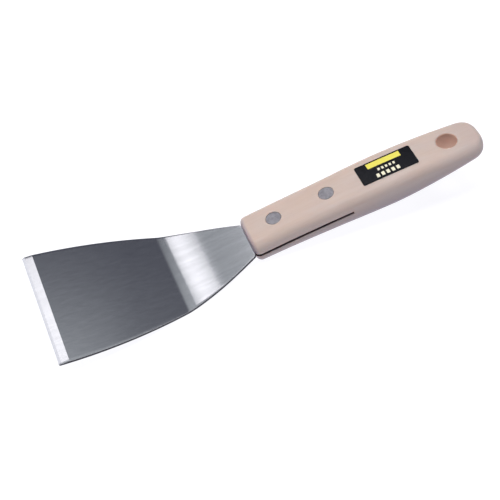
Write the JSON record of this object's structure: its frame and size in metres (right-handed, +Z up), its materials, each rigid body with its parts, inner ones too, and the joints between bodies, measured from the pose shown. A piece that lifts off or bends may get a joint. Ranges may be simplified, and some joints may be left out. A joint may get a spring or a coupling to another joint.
{
  "type": "wall scraper",
  "caption": "Stiff wall scraper: bent, bevel-edged flared steel blade with a tang riveted into a slotted one-piece wooden handle with a hanging hole and a small label.",
  "frame": {"origin": "on the surface the tool lies on, below the centre of its bounding box, with the tool in its resting pose, label side up", "axes": "+X towards the handle's butt, so the working edge is at -X; +Z up from the resting surface; +Y across the blade"},
  "size_m": [0.2372, 0.0762, 0.0298],
  "materials": {
    "blade_steel": "satin, fine lengthwise and crosswise grinding marks, bright ground bevel",
    "handle_wood": "pale close-grained hardwood, clear satin lacquer",
    "rivet_metal": "dull sanded flush heads",
    "label_film": "glossy black film with a plain yellow bar and pale marks"
  },
  "bodies": {
    "root": {"blade": "blade_steel", "handle": "handle_wood", "rivet_front_female": "rivet_metal", "rivet_front_male": "rivet_metal", "rivet_rear_female": "rivet_metal", "rivet_rear_male": "rivet_metal", "label": "label_film"}
  },
  "joints": []
}
